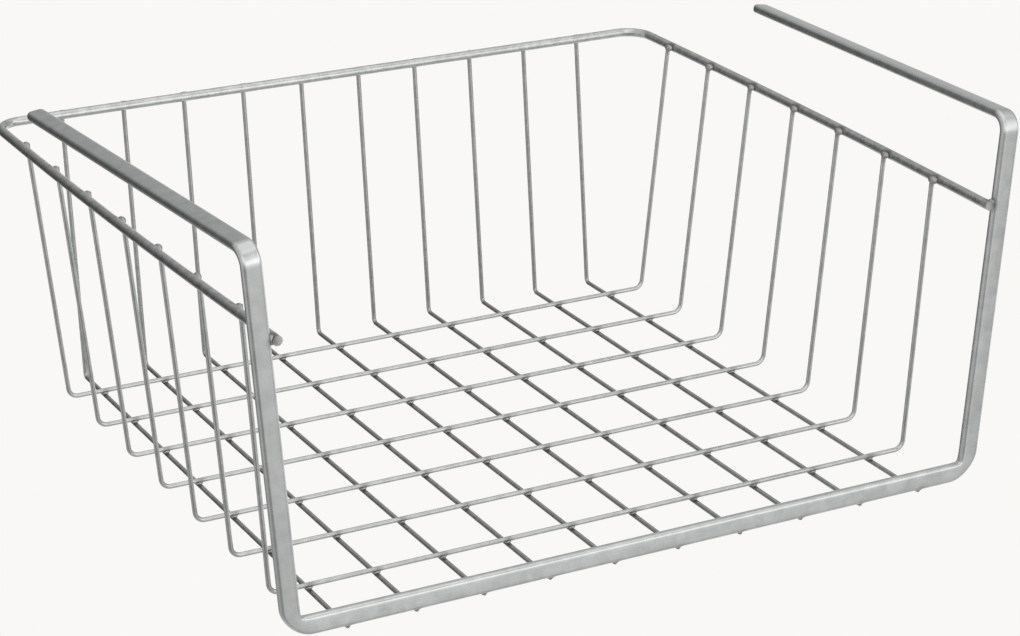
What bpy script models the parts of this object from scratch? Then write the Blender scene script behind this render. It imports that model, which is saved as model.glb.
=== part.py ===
"""Under shelf basket: a wire basket that hangs from a shelf board on two spring arms.

One flat bar is bent into the whole front frame: a left arm, a left upright, the
front rail, a right upright and a right arm. The arms lie on top of the shelf board.
A round rim rod runs from the inner side of one upright, along the left side, the
back and the right side, to the other upright, and the board slides in between the
arms and this rod. Cross wires hang inside the rim from left to right, and long
wires run beneath them from behind the back rim to under the front rail.

Metres, +Z up, +X to the right and +Y to the back. The origin is in the middle of
the basket, at the surface that the long wires would stand on.
"""

import math

import bmesh
import bpy
from mathutils import Vector

# Driving sizes of the whole basket
OVERALL_DEPTH = 0.354  # front face of the frame to the backs of the long wires
FRAME_HEIGHT = 0.189  # underside of the front rail to the tops of the arms
FRAME_WIDTH = 0.4065  # over the outer sides of the uprights, at the tops of the arms
FRAME_FOOT_WIDTH = 0.377  # the same, at the underside of the front rail
SHELF_GAP = 0.038  # clear height for the shelf board, between arms and rim
WELD_GAP = 0.0003  # left between two pieces that a weld joins

# Flat bar of the frame
BAR_WIDTH = 0.0095
BAR_THICKNESS = 0.0046
BAR_EDGE_RADIUS = 0.0017
BAR_TOP_BEND_RADIUS = 0.0078  # along the middle of the bar, bent the easy way
BAR_FOOT_BEND_RADIUS = 0.0115  # along the middle of the bar, bent on edge
ARM_REACH = 0.241  # front face of the frame to the ends of the arms
ARM_DROP = 0.0052  # how far the arms slope down to their ends, to grip the board
ARM_SPLAY = 0.010  # how far each arm leads outwards to its end
ARM_TIP_ROUNDING = 0.0016  # length over which the cut end is rounded off
ARM_TIP_SHARE = 0.72  # width left at the very end

# Round rod of the rim
RIM_DIAMETER = 0.0048
RIM_BACK_WIDTH = 0.394  # over the outer sides of the rod, at the back
RIM_CORNER_RADIUS = 0.014  # along the middle of the rod
RIM_SIDE_BOW = 0.0025  # how far each side of the rim bulges outwards in its middle

# Wires
WIRE_DIAMETER = 0.0024
WIRE_END_RISE = 0.0009  # how far the ends stand above the middle of the rim rod
FLOOR_WIDTH = 0.352  # between the left and right bends of the cross wires
FLOOR_DEPTH = 0.337  # front face of the frame to the back bends of the long wires
WIRE_BEND_RADIUS = 0.0052  # along the middle of the wire
CROSS_WIRE_COUNT = 7
CROSS_WIRE_PITCH = 0.0438
CROSS_WIRE_SETBACK = 0.045  # front face of the frame to the first cross wire
LONG_WIRE_COUNT = 10
LONG_WIRE_PITCH = 0.0347
LONG_WIRE_SETBACK = 0.0028  # front face of the frame to the ends under the rail

# Fineness of the faces
BAR_BEND_STEPS = 10
BAR_EDGE_STEPS = 4
BAR_TIP_STEPS = 3
RIM_CORNER_STEPS = 10
RIM_SIDE_STEPS = 12
WIRE_BEND_STEPS = 6
RIM_RESOLUTION = 4
WIRE_RESOLUTION = 3
MERGE_DISTANCE = 0.00001  # the two halves of the bar become one where they are this close

# Places that follow from the sizes
RIM_RADIUS = RIM_DIAMETER / 2
WIRE_RADIUS = WIRE_DIAMETER / 2
FRONT_Y = -OVERALL_DEPTH / 2
LONG_WIRE_Z = WIRE_RADIUS
CROSS_WIRE_Z = LONG_WIRE_Z + WIRE_DIAMETER + WELD_GAP
RAIL_UNDERSIDE_Z = WIRE_DIAMETER + WELD_GAP
ARM_TOP_Z = RAIL_UNDERSIDE_Z + FRAME_HEIGHT
ARM_MIDDLE_Z = ARM_TOP_Z - BAR_THICKNESS / 2
RIM_Z = ARM_TOP_Z - BAR_THICKNESS - SHELF_GAP - RIM_RADIUS
WIRE_TOP_Z = RIM_Z + WIRE_END_RISE
RIM_TO_WIRE = RIM_RADIUS + WELD_GAP + WIRE_RADIUS
RIM_BACK_Y = FRONT_Y + OVERALL_DEPTH - WIRE_RADIUS - RIM_TO_WIRE
FRAME_BACK_Y = FRONT_Y + BAR_THICKNESS
UPRIGHT_LEAN = (FRAME_WIDTH - FRAME_FOOT_WIDTH) / 2 / FRAME_HEIGHT  # sideways for each unit of height
UPRIGHT_SKEW = math.hypot(1, UPRIGHT_LEAN)  # a level cut across an upright is this much wider

# Finish of each kind of piece: colour, roughness
BAR_FINISH = ((0.47, 0.49, 0.49), 0.26)
RIM_FINISH = ((0.42, 0.43, 0.43), 0.22)
CROSS_WIRE_FINISH = ((0.50, 0.51, 0.50), 0.28)
LONG_WIRE_FINISH = ((0.30, 0.30, 0.29), 0.28)


def clear_scene():
    for obj in list(bpy.data.objects):
        bpy.data.objects.remove(obj, do_unlink=True)


def new_collection(name):
    collection = bpy.data.collections.new(name)
    bpy.context.scene.collection.children.link(collection)
    return collection


def plated_steel(name, finish):
    """Bright plated steel, one material for each piece."""
    colour, roughness = finish
    material = bpy.data.materials.new(name + "_finish")
    material.use_nodes = True
    shader = material.node_tree.nodes["Principled BSDF"]
    shader.inputs["Base Color"].default_value = (*colour, 1)
    shader.inputs["Metallic"].default_value = 1
    shader.inputs["Roughness"].default_value = roughness
    return material


def bent(corners, radius, steps):
    """The path through these corners, with every corner but the two ends bent to this radius."""
    path = [corners[0]]
    for before, corner, after in zip(corners, corners[1:], corners[2:]):
        to_before = (before - corner).normalized()
        to_after = (after - corner).normalized()
        opening = to_before.angle(to_after)
        middle = corner + (to_before + to_after).normalized() * radius / math.sin(opening / 2)
        start = corner + to_before * radius / math.tan(opening / 2) - middle
        end = corner + to_after * radius / math.tan(opening / 2) - middle
        turn = math.pi - opening
        for step in range(steps + 1):
            angle = turn * step / steps
            spoke = (start * math.sin(turn - angle) + end * math.sin(angle)) / math.sin(turn)
            path.append(middle + spoke)
    path.append(corners[-1])
    return path


def path_curve(name, points):
    """A curve object that runs straight from point to point."""
    curve = bpy.data.curves.new(name, "CURVE")
    curve.dimensions = "3D"
    curve.twist_mode = "MINIMUM"
    spline = curve.splines.new("POLY")
    spline.points.add(len(points) - 1)
    for spline_point, point in zip(spline.points, points):
        spline_point.co = (*point, 1)
    return bpy.data.objects.new(name, curve)


def round_rod(collection, name, points, diameter, resolution, finish):
    """A round rod or wire along these points, with flat ends."""
    rod = path_curve(name, points)
    rod.data.bevel_depth = diameter / 2
    rod.data.bevel_resolution = resolution
    rod.data.use_fill_caps = True
    rod.data.materials.append(plated_steel(name, finish))
    collection.objects.link(rod)
    return rod


def bar_section():
    """The outline of the flat bar with its rounded edges, as a closed flat curve."""
    across = BAR_THICKNESS / 2 - BAR_EDGE_RADIUS
    along = BAR_WIDTH / 2 - BAR_EDGE_RADIUS
    outline = []
    for quarter, (side, end) in enumerate(((1, 1), (-1, 1), (-1, -1), (1, -1))):
        for step in range(BAR_EDGE_STEPS + 1):
            angle = math.pi / 2 * (quarter + step / BAR_EDGE_STEPS)
            outline.append(
                Vector(
                    (
                        side * across + BAR_EDGE_RADIUS * math.cos(angle),
                        end * along + BAR_EDGE_RADIUS * math.sin(angle),
                        0,
                    )
                )
            )
    section = path_curve("bar_section", outline)
    section.data.dimensions = "2D"
    section.data.fill_mode = "NONE"
    section.data.splines[0].use_cyclic_u = True
    return section


def upright_middle_x(z):
    """Half the distance between the middles of the two uprights at this height."""
    outer = FRAME_FOOT_WIDTH / 2 + UPRIGHT_LEAN * (z - RAIL_UNDERSIDE_Z)
    return outer - BAR_WIDTH / 2 * UPRIGHT_SKEW


def half_bar_path():
    """The middle of the bar, from the middle of the front rail to the end of the right arm."""
    y = FRONT_Y + BAR_THICKNESS / 2
    rail_z = RAIL_UNDERSIDE_Z + BAR_WIDTH / 2
    rail_middle = Vector((0, y, rail_z))
    foot = Vector((upright_middle_x(rail_z), y, rail_z))
    shoulder = Vector((upright_middle_x(ARM_MIDDLE_Z), y, ARM_MIDDLE_Z))
    tip = Vector((shoulder.x + ARM_SPLAY, FRONT_Y + ARM_REACH, ARM_MIDDLE_Z - ARM_DROP))
    foot_bend = bent([rail_middle, foot, shoulder], BAR_FOOT_BEND_RADIUS, BAR_BEND_STEPS)
    top_bend = bent([foot, shoulder, tip], BAR_TOP_BEND_RADIUS, BAR_BEND_STEPS)
    return foot_bend[:-1] + top_bend[1:]


def keep_the_lean(path_object):
    """Turns the section back along the top bend, so that the arm leans as its upright does and no more."""
    points = path_object.data.splines[0].points
    splay_angle = math.atan2(ARM_SPLAY, ARM_REACH)
    bend_start = len(points) - BAR_BEND_STEPS - 2
    for step in range(BAR_BEND_STEPS + 2):
        points[bend_start + step].tilt = -splay_angle * min(step / BAR_BEND_STEPS, 1)


def round_the_tip(path_object):
    """Adds points near the end of the bar and narrows it there, like a cut end that was tumbled."""
    points = path_object.data.splines[0].points
    end = points[-1].co.copy()
    back = (points[-2].co - end).normalized() * ARM_TIP_ROUNDING
    first = len(points) - 1
    points.add(BAR_TIP_STEPS)
    for step in range(BAR_TIP_STEPS + 1):
        angle = math.pi / 2 * step / BAR_TIP_STEPS
        point = points[first + step]
        point.co = end + back * (1 - math.sin(angle))
        point.tilt = points[first].tilt
        point.radius = ARM_TIP_SHARE + (1 - ARM_TIP_SHARE) * math.cos(angle)


def make_frame(collection):
    """The one bent bar: the half on the right is swept along its path, and a mirror makes the left."""
    section = bar_section()
    path = path_curve("bar_path", half_bar_path())
    path.data.bevel_mode = "OBJECT"
    path.data.bevel_object = section
    keep_the_lean(path)
    round_the_tip(path)
    collection.objects.link(section)
    collection.objects.link(path)
    bpy.context.view_layer.update()
    swept = bpy.data.meshes.new_from_object(path.evaluated_get(bpy.context.evaluated_depsgraph_get()))
    for guide in (path, section):
        bpy.data.objects.remove(guide, do_unlink=True)

    half = bmesh.new()
    half.from_mesh(swept)
    tip_edges = [
        edge
        for edge in half.edges
        if edge.is_boundary and min(vert.co.x for vert in edge.verts) > BAR_WIDTH
    ]
    bmesh.ops.holes_fill(half, edges=tip_edges, sides=len(tip_edges))
    bmesh.ops.recalc_face_normals(half, faces=half.faces)
    half.to_mesh(swept)
    half.free()
    swept.name = "frame_bar"
    swept.materials.clear()
    swept.materials.append(plated_steel("frame_bar", BAR_FINISH))
    swept.shade_smooth()

    frame = bpy.data.objects.new("frame_bar", swept)
    collection.objects.link(frame)
    mirror = frame.modifiers.new("left_half", "MIRROR")
    mirror.use_axis = (True, False, False)
    mirror.merge_threshold = MERGE_DISTANCE
    return frame


def rim_front_x():
    """Half the distance between the middles of the rod's two front ends."""
    inner_side = upright_middle_x(RIM_Z) - BAR_WIDTH / 2 * UPRIGHT_SKEW
    return inner_side - (WELD_GAP + RIM_RADIUS) * UPRIGHT_SKEW


def rim_x(y):
    """Half the distance between the rim's sides at this depth. They bow, but not beside the frame."""
    back_x = RIM_BACK_WIDTH / 2 - RIM_RADIUS
    share = max(0, (y - FRAME_BACK_Y) / (RIM_BACK_Y - FRAME_BACK_Y))
    bow = RIM_SIDE_BOW * (1 - (2 * share - 1) ** 2)
    return rim_front_x() + (back_x - rim_front_x()) * share + bow


def make_rim(collection):
    """The round rod along the left side, the back and the right side."""
    side_y = [FRONT_Y]
    for step in range(RIM_SIDE_STEPS):
        side_y.append(FRAME_BACK_Y + (RIM_BACK_Y - FRAME_BACK_Y) * step / RIM_SIDE_STEPS)
    left = [Vector((-rim_x(y), y, RIM_Z)) for y in side_y]
    right = [Vector((rim_x(y), y, RIM_Z)) for y in reversed(side_y)]
    back = [Vector((side * rim_x(RIM_BACK_Y), RIM_BACK_Y, RIM_Z)) for side in (-1, 1)]
    around_the_back = bent([left[-1], *back, right[0]], RIM_CORNER_RADIUS, RIM_CORNER_STEPS)
    points = left[:-1] + around_the_back + right[1:]
    return round_rod(collection, "rim_rod", points, RIM_DIAMETER, RIM_RESOLUTION, RIM_FINISH)


def beyond(low, joint, z):
    """The point at height z on the line from low through joint."""
    return low + (joint - low) * (z - low.z) / (joint.z - low.z)


def make_cross_wire(collection, number):
    """A wire from inside the left rim, across the floor, to the right rim. Number 1 is at the back."""
    y = FRONT_Y + CROSS_WIRE_SETBACK + (CROSS_WIRE_COUNT - number) * CROSS_WIRE_PITCH
    corners = []
    for side in (-1, 1):
        floor_corner = Vector((side * FLOOR_WIDTH / 2, y, CROSS_WIRE_Z))
        joint = Vector((side * (rim_x(y) - RIM_TO_WIRE), y, RIM_Z))
        corners += [beyond(floor_corner, joint, WIRE_TOP_Z), floor_corner][::-side]
    points = bent(corners, WIRE_BEND_RADIUS, WIRE_BEND_STEPS)
    name = f"cross_wire_{number}"
    return round_rod(collection, name, points, WIRE_DIAMETER, WIRE_RESOLUTION, CROSS_WIRE_FINISH)


def make_long_wire(collection, number):
    """A wire from behind the back rim, along the floor, to under the rail. Number 1 is at the left."""
    x = (number - (LONG_WIRE_COUNT + 1) / 2) * LONG_WIRE_PITCH
    floor_corner = Vector((x, FRONT_Y + FLOOR_DEPTH, LONG_WIRE_Z))
    joint = Vector((x, RIM_BACK_Y + RIM_TO_WIRE, RIM_Z))
    front_end = Vector((x, FRONT_Y + LONG_WIRE_SETBACK, LONG_WIRE_Z))
    corners = [beyond(floor_corner, joint, WIRE_TOP_Z), floor_corner, front_end]
    points = bent(corners, WIRE_BEND_RADIUS, WIRE_BEND_STEPS)
    name = f"long_wire_{number}"
    return round_rod(collection, name, points, WIRE_DIAMETER, WIRE_RESOLUTION, LONG_WIRE_FINISH)


def main():
    clear_scene()
    basket = new_collection("under_shelf_basket")
    make_frame(basket)
    make_rim(basket)
    for number in range(1, CROSS_WIRE_COUNT + 1):
        make_cross_wire(basket, number)
    for number in range(1, LONG_WIRE_COUNT + 1):
        make_long_wire(basket, number)


main()
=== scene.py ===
# %% [markdown]
# An under shelf basket, dressed for its picture.
#
# The real object is welded from steel: one flat bar bent into the front frame with its two
# spring arms, one round rod bent into the rim, and a mesh of thin wires. All of it was plated
# after welding. The CAD part gives every piece its place and size as a plain faceted solid.
# This script gives each piece its smooth shape, its welds and its finish, and it changes no size.

import math

import bmesh
import bpy
from mathutils import Matrix, Vector


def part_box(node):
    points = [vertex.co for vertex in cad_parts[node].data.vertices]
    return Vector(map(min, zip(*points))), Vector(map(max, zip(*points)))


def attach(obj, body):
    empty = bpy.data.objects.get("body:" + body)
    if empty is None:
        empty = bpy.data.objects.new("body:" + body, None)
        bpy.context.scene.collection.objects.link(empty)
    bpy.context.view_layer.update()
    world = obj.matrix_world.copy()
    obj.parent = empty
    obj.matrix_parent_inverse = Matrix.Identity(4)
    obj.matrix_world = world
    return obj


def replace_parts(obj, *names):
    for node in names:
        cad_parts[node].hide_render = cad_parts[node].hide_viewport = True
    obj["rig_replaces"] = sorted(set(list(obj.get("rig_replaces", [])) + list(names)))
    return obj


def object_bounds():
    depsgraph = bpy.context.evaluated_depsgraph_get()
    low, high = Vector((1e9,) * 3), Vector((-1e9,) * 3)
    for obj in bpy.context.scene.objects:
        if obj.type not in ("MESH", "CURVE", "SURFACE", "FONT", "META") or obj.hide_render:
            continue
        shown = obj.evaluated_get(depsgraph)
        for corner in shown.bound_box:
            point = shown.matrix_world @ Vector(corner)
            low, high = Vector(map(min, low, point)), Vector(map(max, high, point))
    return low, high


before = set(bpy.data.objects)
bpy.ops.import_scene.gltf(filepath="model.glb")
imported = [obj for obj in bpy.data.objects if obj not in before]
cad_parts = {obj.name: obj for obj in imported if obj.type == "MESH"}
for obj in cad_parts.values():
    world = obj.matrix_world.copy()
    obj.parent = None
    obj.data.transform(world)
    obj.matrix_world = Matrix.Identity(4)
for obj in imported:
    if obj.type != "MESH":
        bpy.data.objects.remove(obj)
cad_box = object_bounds()
print("CAD nodes:", len(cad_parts))
print("CAD box in mm:", [[round(1000 * value, 1) for value in corner] for corner in cad_box])

# %% [markdown]
# The camera.
#
# The photograph was taken from the left of the basket and from a little above. Its place, its
# direction and its focal length were worked out from points on the wires, rod and bar whose
# real places are known. A camera could also be aimed by hand at an empty object, but then every
# later comparison with the photograph would carry the error of that guess. Blender makes an
# object and puts it in the scene in two steps, so one small function does both for every piece.

# %% Camera
def add_object(name, data):
    """A new object in the scene, with this mesh, light or camera."""
    made = bpy.data.objects.new(name, data)
    bpy.context.scene.collection.objects.link(made)
    return made


CAMERA_PLACE = Vector((-0.650813, -1.254641, 0.613336))
CAMERA_TURN = math.radians(28.11)  # from straight to the back, towards the right
CAMERA_PITCH = math.radians(-21.312)  # below the horizon
CAMERA_ROLL = math.radians(0.068)
CAMERA_LENS = 104.10  # mm, on a sensor 36 mm wide
SENSOR_WIDTH = 36.0
CLIP_END = 60.0

camera_data = bpy.data.cameras.new("camera")
camera_data.lens = CAMERA_LENS
camera_data.sensor_width = SENSOR_WIDTH
camera_data.clip_end = CLIP_END
camera = add_object("camera", camera_data)
camera.matrix_world = (
    Matrix.Translation(CAMERA_PLACE)
    @ Matrix.Rotation(-CAMERA_TURN, 4, "Z")
    @ Matrix.Rotation(math.pi / 2 + CAMERA_PITCH, 4, "X")
    @ Matrix.Rotation(CAMERA_ROLL, 4, "Z")
)
bpy.context.scene.camera = camera
print("camera at", tuple(round(value, 3) for value in CAMERA_PLACE))

# %% [markdown]
# Two small helpers.
#
# Colours are written as the hex values that a paint chart or a picture editor shows. Shaders
# calculate with linear light, so one function turns the one into the other. Node trees are long
# to write out, so one function adds a node, sets its properties and feeds its sockets.

# %% Helpers for colours and nodes
SRGB_TOE = 0.04045
SRGB_TOE_SLOPE = 12.92
SRGB_OFFSET = 0.055
SRGB_POWER = 2.4


def linear(hex_colour):
    """The linear red, green, blue and alpha of an sRGB colour such as "8A8A8A"."""
    channels = []
    for start in (0, 2, 4):
        value = int(hex_colour[start:start + 2], 16) / 255
        if value <= SRGB_TOE:
            channels.append(value / SRGB_TOE_SLOPE)
        else:
            channels.append(((value + SRGB_OFFSET) / (1 + SRGB_OFFSET)) ** SRGB_POWER)
    return (*channels, 1)


def add_node(tree, kind, sockets=None, **properties):
    """Adds a node, sets its properties, and gives each named socket a value or a link."""
    node = tree.nodes.new(kind)
    for name, value in properties.items():
        setattr(node, name, value)
    for socket, value in (sockets or {}).items():
        if isinstance(value, bpy.types.NodeSocket):
            tree.links.new(value, node.inputs[socket])
        else:
            node.inputs[socket].default_value = value
    return node


print("middle grey in linear light:", round(linear("808080")[0], 3))

# %% [markdown]
# The finish of the wires, the rod and the bar: bright plated steel.
#
# Such baskets are drawn and rolled steel, welded, and then plated with nickel or zinc under a
# thin bright layer. Three things show in the photograph. The metal mirrors its surroundings
# softly, not sharply, so its roughness is about a quarter. Drawing through a die leaves fine
# lines along each piece, and they spread a reflection across themselves: that is the shader's
# anisotropy. The plating is a little uneven, with shallow dimples, so a patch of a few
# millimetres is lighter or duller than the next. The long wires are painted greyer than the
# others: painted shade for the darker surroundings that they mirror.
#
# An image of scratches could be laid over the metal instead, but noise that is stretched along
# the piece needs no seam and follows every bend. Real drawing lines are a few hundredths of a
# millimetre wide, too fine to show, so these are about ten times as coarse. Each piece carries
# an attribute named drawn: where a point lies across the piece, and how far along it. Another,
# draw_direction, says which way the piece runs there. Near a weld the heat dulls the steel
# under the plating, and an attribute named weld_heat says how near that is.

# %% Patterns of the plated steel
MM = 0.001
LINE_DETAIL = 3.0
LINE_HARSHNESS = 0.6
PATCH_DETAIL = 4.0
PATCH_HARSHNESS = 0.55
SOFT_HARSHNESS = 0.5


def drawing_lines(tree, width, length):
    """Noise that is stretched along the piece, as fine lines of this width and length."""
    place = add_node(tree, "ShaderNodeAttribute", attribute_name="drawn")
    stretched = add_node(
        tree, "ShaderNodeVectorMath",
        {0: place.outputs["Vector"], 1: (1 / width, 1 / width, 1 / length)},
        operation="MULTIPLY")
    lines = add_node(
        tree, "ShaderNodeTexNoise",
        {"Vector": stretched.outputs[0], "Scale": 1.0, "Detail": LINE_DETAIL,
         "Roughness": LINE_HARSHNESS})
    return lines.outputs["Fac"]


def patches_of(tree, size, detail, harshness=SOFT_HARSHNESS):
    """Noise in patches of about this size."""
    place = add_node(tree, "ShaderNodeTexCoord")
    noise = add_node(
        tree, "ShaderNodeTexNoise",
        {"Vector": place.outputs["Object"], "Scale": 1 / size, "Detail": detail,
         "Roughness": harshness})
    return noise.outputs["Fac"]


# %% Colour and gloss of the plated steel
NOISE_LOW, NOISE_HIGH = 0.3, 0.7  # nearly all of a noise lies between these
LINE_SHARE = 0.35  # how much the lines change the brightness, where the patches have 1
WELD_TINT = "B2B0AD"  # what the heat of a weld leaves of the brightness
WELD_DULLING = 0.12  # added to the roughness there
MIX_A, MIX_B, MIXED = 6, 7, 2  # the sockets of a Mix node that mixes colours


def metal_colour(tree, lines, patches, heat, clean, dull):
    """Clean and dull patches with fine lines, darker where a weld has heated the steel."""
    unevenness = add_node(
        tree, "ShaderNodeMath", {0: lines, 1: LINE_SHARE, 2: patches}, operation="MULTIPLY_ADD")
    shade = add_node(
        tree, "ShaderNodeMapRange",
        {"Value": unevenness.outputs[0], "From Min": LINE_SHARE / 2 + NOISE_LOW,
         "From Max": LINE_SHARE / 2 + NOISE_HIGH})
    colour = add_node(
        tree, "ShaderNodeMix",
        {"Factor": shade.outputs[0], MIX_A: linear(dull), MIX_B: linear(clean)},
        data_type="RGBA")
    scorched = add_node(
        tree, "ShaderNodeMix",
        {"Factor": heat, MIX_A: colour.outputs[MIXED], MIX_B: linear(WELD_TINT)},
        data_type="RGBA", blend_type="MULTIPLY")
    return scorched.outputs[MIXED]


def metal_gloss(tree, patches, heat, roughness):
    """Roughness between these two values from patch to patch, and more near a weld."""
    gloss = add_node(
        tree, "ShaderNodeMapRange",
        {"Value": patches, "From Min": NOISE_LOW, "From Max": NOISE_HIGH,
         "To Min": roughness[0], "To Max": roughness[1]})
    dulled = add_node(
        tree, "ShaderNodeMath", {0: heat, 1: WELD_DULLING, 2: gloss.outputs[0]},
        operation="MULTIPLY_ADD")
    return dulled.outputs[0]


# %% Relief of the plated steel
PIT_SIZE = 1.6 * MM  # from one shallow dimple of the plating to the next
PIT_DETAIL = 1.0


def metal_relief(tree, lines, line_height, pit_depth):
    """Low ridges along the lines, over shallow dimples."""
    ridges = add_node(
        tree, "ShaderNodeBump", {"Height": lines, "Strength": 1.0, "Distance": line_height})
    pitted = add_node(
        tree, "ShaderNodeBump",
        {"Height": patches_of(tree, PIT_SIZE, PIT_DETAIL), "Strength": 1.0,
         "Distance": pit_depth, "Normal": ridges.outputs["Normal"]})
    return pitted.outputs["Normal"]


# %% The four finishes
ACROSS_THE_LINES = 0.25  # a quarter turn from the direction of drawing
WIRE_LINES = (0.25 * MM, 12 * MM, 0.0003 * MM)


def plated_steel(name, clean, dull, roughness, spread, line_sizes, patch, pit_depth):
    """Bright plated steel. The line sizes are the width, the length and the height of a line."""
    line_width, line_length, line_height = line_sizes
    material = bpy.data.materials.new(name)
    material.use_nodes = True
    tree = material.node_tree
    lines = drawing_lines(tree, line_width, line_length)
    patches = patches_of(tree, patch, PATCH_DETAIL, PATCH_HARSHNESS)
    heading = add_node(tree, "ShaderNodeAttribute", attribute_name="draw_direction")
    heat = add_node(tree, "ShaderNodeAttribute", attribute_name="weld_heat").outputs["Fac"]
    shader = tree.nodes["Principled BSDF"]
    shader.inputs["Metallic"].default_value = 1
    shader.inputs["Anisotropic"].default_value = spread
    shader.inputs["Anisotropic Rotation"].default_value = ACROSS_THE_LINES
    for socket, source in {
        "Tangent": heading.outputs["Vector"],
        "Base Color": metal_colour(tree, lines, patches, heat, clean, dull),
        "Roughness": metal_gloss(tree, patches, heat, roughness),
        "Normal": metal_relief(tree, lines, line_height, pit_depth),
    }.items():
        tree.links.new(source, shader.inputs[socket])
    return material


bar_metal = plated_steel(
    "bright_plated_flat_bar", clean="D8DADA", dull="C5C8C7", roughness=(0.25, 0.29),
    spread=0.75, line_sizes=(0.35 * MM, 30 * MM, 0.0007 * MM), patch=6 * MM,
    pit_depth=0.002 * MM)
rod_metal = plated_steel(
    "bright_plated_round_rod", clean="D6D8D6", dull="B9BCBA", roughness=(0.20, 0.28),
    spread=0.8, line_sizes=(0.30 * MM, 12 * MM, 0.0003 * MM), patch=4 * MM,
    pit_depth=0.06 * MM)
cross_wire_metal = plated_steel(
    "bright_plated_cross_wire", clean="CFD1CF", dull="BCBEBC", roughness=(0.20, 0.28),
    spread=0.4, line_sizes=WIRE_LINES, patch=4 * MM, pit_depth=0.01 * MM)
# Painted shade: the long wires are the same plated wire, given darker colours for the darker
# surroundings that they mirror.
long_wire_metal_painted_shade = plated_steel(
    "plated_long_wire_painted_shade", clean="BABCBA", dull="A6A8A6", roughness=(0.22, 0.30),
    spread=0.4, line_sizes=WIRE_LINES, patch=4 * MM, pit_depth=0.01 * MM)
print("finishes:", [m.name for m in (bar_metal, rod_metal, cross_wire_metal, long_wire_metal_painted_shade)])

# %% [markdown]
# The sizes.
#
# A scene can't read the CAD source, so the few sizes that a smooth piece needs are repeated
# here in metres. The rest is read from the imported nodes.

# %% Sizes in metres, the same as in the CAD part
FRONT_Y = -0.177  # front face of the frame
BACK_Y = 0.177  # backs of the long wires
RAIL_UNDERSIDE_Z = 0.0027
FRAME_HEIGHT = 0.189
FRAME_WIDTH = 0.4065
FRAME_FOOT_WIDTH = 0.377
WELD_GAP = 0.0003

BAR_WIDTH = 0.0095
BAR_THICKNESS = 0.0046
BAR_EDGE_RADIUS = 0.0017
BAR_TOP_BEND_RADIUS = 0.0078
BAR_FOOT_BEND_RADIUS = 0.0115
ARM_REACH = 0.241
ARM_DROP = 0.0052
ARM_SPLAY = 0.010

RIM_RADIUS = 0.0024
RIM_Z = 0.1467
RIM_BACK_WIDTH = 0.394
RIM_CORNER_RADIUS = 0.014
RIM_SIDE_BOW = 0.0025
RIM_SIDE_STEPS = 12

WIRE_RADIUS = 0.0012
WIRE_TOP_Z = 0.1476
WIRE_BEND_RADIUS = 0.0052
FLOOR_WIDTH = 0.352
FLOOR_DEPTH = 0.337
LONG_WIRE_Z = 0.0012
CROSS_WIRE_Z = 0.0039
LONG_WIRE_FRONT_Y = -0.1742
CROSS_WIRE_COUNT = 7
LONG_WIRE_COUNT = 10

RIM_TO_WIRE = RIM_RADIUS + WELD_GAP + WIRE_RADIUS
RIM_BACK_Y = BACK_Y - WIRE_RADIUS - RIM_TO_WIRE
FRAME_BACK_Y = FRONT_Y + BAR_THICKNESS
ARM_MIDDLE_Z = RAIL_UNDERSIDE_Z + FRAME_HEIGHT - BAR_THICKNESS / 2
UPRIGHT_LEAN = (FRAME_WIDTH - FRAME_FOOT_WIDTH) / 2 / FRAME_HEIGHT
UPRIGHT_SKEW = math.hypot(1, UPRIGHT_LEAN)


def middle_of(node):
    """The middle of a CAD node's box."""
    low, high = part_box(node)
    return (low + high) / 2


def upright_middle_x(z):
    """Half the distance between the middles of the two uprights at this height."""
    outer = FRAME_FOOT_WIDTH / 2 + UPRIGHT_LEAN * (z - RAIL_UNDERSIDE_Z)
    return outer - BAR_WIDTH / 2 * UPRIGHT_SKEW


def upright_inner_x(z):
    """Half the distance between the inner sides of the two uprights at this height."""
    return upright_middle_x(z) - BAR_WIDTH / 2 * UPRIGHT_SKEW


def rim_x(y):
    """Half the distance between the middles of the two sides of the rim at this depth."""
    front_x = upright_inner_x(RIM_Z) - (WELD_GAP + RIM_RADIUS) * UPRIGHT_SKEW
    back_x = RIM_BACK_WIDTH / 2 - RIM_RADIUS
    share = max(0, (y - FRAME_BACK_Y) / (RIM_BACK_Y - FRAME_BACK_Y))
    return front_x + (back_x - front_x) * share + RIM_SIDE_BOW * (1 - (2 * share - 1) ** 2)


cross_wire_y = [middle_of(f"cross_wire_{n}").y for n in range(1, CROSS_WIRE_COUNT + 1)]
long_wire_x = [middle_of(f"long_wire_{n}").x for n in range(1, LONG_WIRE_COUNT + 1)]
print("cross wires at y in mm:", [round(1000 * y, 1) for y in cross_wire_y])
print("long wires at x in mm:", [round(1000 * x, 1) for x in long_wire_x])

# %% [markdown]
# The places of the welds.
#
# Every crossing is one resistance weld: two electrodes press the wires together and a current
# melts the spot where they touch. The list is made before the wires, because each wire is
# duller near its welds. Each entry holds the spot, how the nugget is turned, and its half sizes.

# %% List of the welds
CONTACT_Z = (LONG_WIRE_Z + CROSS_WIRE_Z) / 2
UPRIGHT_ANGLE = math.atan(UPRIGHT_LEAN)
NUGGET_AT_CROSSING = (1.80 * MM, 1.50 * MM, 0.95 * MM)  # half sizes in x, y and z
NUGGET_AT_RIM = (1.90 * MM, 3.10 * MM, 1.85 * MM)
NUGGET_AT_BACK = (2.80 * MM, 1.45 * MM, 1.55 * MM)
NUGGET_AT_RAIL = (2.50 * MM, 1.50 * MM, 1.10 * MM)
NUGGET_AT_UPRIGHT = (2.20 * MM, 1.80 * MM, 2.60 * MM)
RAIL_WELD_Y = FRONT_Y + 3.2 * MM  # behind the middle of the rail
RIM_WELD_Z = RIM_Z + 0.1 * MM
RIM_WELD_OFFSET = RIM_RADIUS + 0.9 * MM  # from the middle of the rod towards the wire
UPRIGHT_WELD_X = upright_inner_x(RIM_Z) - 0.8 * MM  # beside the end of the rod

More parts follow.
